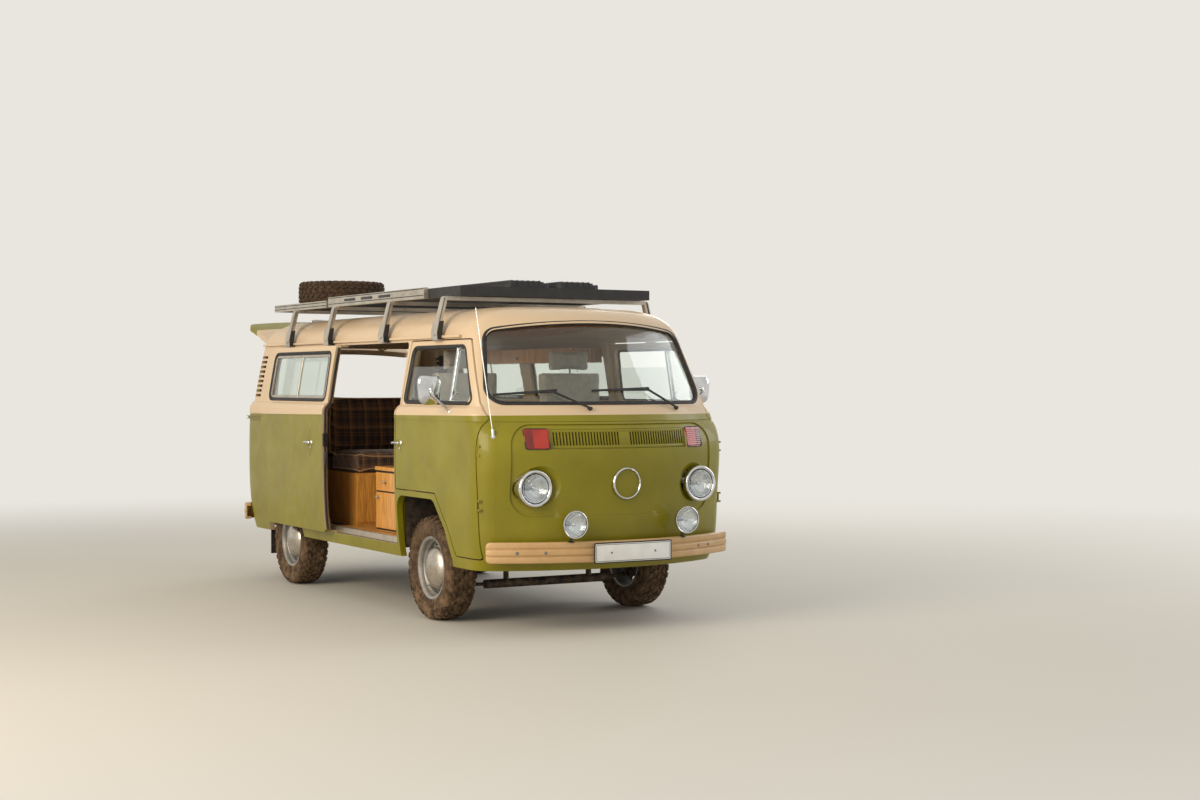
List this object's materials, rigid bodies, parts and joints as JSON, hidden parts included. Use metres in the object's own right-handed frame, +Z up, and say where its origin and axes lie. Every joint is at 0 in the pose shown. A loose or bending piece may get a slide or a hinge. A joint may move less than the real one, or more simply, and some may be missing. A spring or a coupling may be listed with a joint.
{
  "type": "camper van",
  "caption": "Rear-engined camper van with two-tone body, open sliding side door, raised tailgate, camping interior and a loaded-style roof rack.",
  "frame": {"origin": "on the ground under the middle of the whole van's box, doors and tailgate as stored", "axes": "+X forward, +Y to the van's left, +Z up"},
  "size_m": [5.072, 2.088, 2.2365],
  "materials": {
    "board_plastic": "black moulded nylon",
    "cast_alloy": "dirty cast alloy",
    "chrome": "polished chrome",
    "fabric_beige": "light grey-beige seat cloth",
    "fabric_plaid": "dark tartan seat cloth",
    "glass_clear": "clear safety glass",
    "glass_lamp": "ribbed lamp glass",
    "lens_amber": "red-orange lens",
    "lens_red": "red lens",
    "paint_green": "satin olive green enamel, dusty",
    "paint_sand": "satin sand enamel",
    "paint_two_tone": "two-tone green and sand enamel",
    "rack_alloy": "plain extruded aluminium",
    "rack_black": "black powder coat",
    "rubber_black": "black rubber",
    "steel_black": "black underbody coat",
    "steel_silver": "silver painted steel",
    "trim_black": "black padded trim",
    "tyre_rubber": "dusty black rubber",
    "wood_oak": "orange-brown varnished wood"
  },
  "bodies": {
    "root": {"aerial": "chrome", "air_grille": "paint_green", "cabinets": "wood_oak", "dashboard": "trim_black", "engine": "cast_alloy", "floor_pan": "steel_black", "front_axle": "steel_black", "front_bumper": "paint_sand", "front_seats": "fabric_beige", "headlamp_bezels": "chrome", "headlamp_lenses": "glass_lamp", "mud_flaps": "rubber_black", "nose_panel": "paint_two_tone", "nose_ring": "chrome", "rack_frame": "rack_alloy", "rack_platform": "rack_black", "rear_axle": "steel_black", "rear_bumper": "paint_sand", "rear_cushions": "fabric_plaid", "rear_panel": "paint_two_tone", "roof_panel": "paint_sand", "side_panel_left": "paint_two_tone", "side_panel_right": "paint_two_tone", "side_windows": "glass_clear", "sliding_door": "paint_two_tone", "spare_tyre": "tyre_rubber", "spare_wheel": "steel_silver", "spot_lamps": "glass_lamp", "steering_column": "trim_black", "tail_lamps": "lens_red", "traction_boards": "board_plastic", "turn_lamps": "lens_amber", "windscreen": "glass_clear", "wipers": "trim_black"},
    "front_door_left": {"door_window_left": "glass_clear", "front_door_left": "paint_two_tone", "mirror_left": "chrome"},
    "front_door_right": {"door_window_right": "glass_clear", "front_door_right": "paint_two_tone", "mirror_right": "chrome"},
    "engine_lid": {"engine_lid": "paint_green"},
    "knuckle_left": {"knuckle_left": "steel_black"},
    "knuckle_right": {"knuckle_right": "steel_black"},
    "steering_wheel": {"steering_wheel": "trim_black"},
    "tailgate": {"tailgate": "paint_sand", "tailgate_window": "glass_clear"},
    "wheel_front_left": {"tyre_front_left": "tyre_rubber", "wheel_front_left": "steel_silver"},
    "wheel_front_right": {"tyre_front_right": "tyre_rubber", "wheel_front_right": "steel_silver"},
    "wheel_rear_left": {"tyre_rear_left": "tyre_rubber", "wheel_rear_left": "steel_silver"},
    "wheel_rear_right": {"tyre_rear_right": "tyre_rubber", "wheel_rear_right": "steel_silver"}
  },
  "joints": [
    {"name": "front_door_left", "type": "hinge", "parent": "root", "child": "front_door_left", "pos_m": [2.16598, 0.846, 0.9], "axis": [0, 0, -1], "range_deg": [0, 65]},
    {"name": "front_door_right", "type": "hinge", "parent": "root", "child": "front_door_right", "pos_m": [2.16598, -0.846, 0.9], "axis": [0, 0, 1], "range_deg": [0, 65]},
    {"name": "tailgate", "type": "hinge", "parent": "root", "child": "tailgate", "pos_m": [-1.87602, 0, 1.743], "axis": [0, 1, 0], "range_deg": [-104, 0]},
    {"name": "engine_lid", "type": "hinge", "parent": "root", "child": "engine_lid", "pos_m": [-1.95602, 0, 0.959], "axis": [0, 1, 0], "range_deg": [0, 75]},
    {"name": "steering_wheel", "type": "hinge", "parent": "root", "child": "steering_wheel", "pos_m": [1.91598, 0.37, 1.21], "axis": [-0.5, 0, 0.866], "range_deg": [-412.6, 412.6]},
    {"name": "steer_left", "type": "hinge", "parent": "root", "child": "knuckle_left", "pos_m": [1.37598, 0.6325, 0.325], "axis": [0, 0, 1], "range_deg": [-28, 28]},
    {"name": "spin_front_left", "type": "hinge", "parent": "knuckle_left", "child": "wheel_front_left", "pos_m": [1.37598, 0.6975, 0.325], "axis": [0, 1, 0], "continuous": true},
    {"name": "spin_rear_left", "type": "hinge", "parent": "root", "child": "wheel_rear_left", "pos_m": [-1.02402, 0.7125, 0.325], "axis": [0, 1, 0], "continuous": true},
    {"name": "steer_right", "type": "hinge", "parent": "root", "child": "knuckle_right", "pos_m": [1.37598, -0.6325, 0.325], "axis": [0, 0, 1], "range_deg": [-28.5, 28.5]},
    {"name": "spin_front_right", "type": "hinge", "parent": "knuckle_right", "child": "wheel_front_right", "pos_m": [1.37598, -0.6975, 0.325], "axis": [0, 1, 0], "continuous": true},
    {"name": "spin_rear_right", "type": "hinge", "parent": "root", "child": "wheel_rear_right", "pos_m": [-1.02402, -0.7125, 0.325], "axis": [0, 1, 0], "continuous": true}
  ],
  "couplings": [
    {"joint": "steer_right", "follows": "steer_left", "ratio": 1},
    {"joint": "steering_wheel", "follows": "steer_left", "ratio": 14.7}
  ]
}
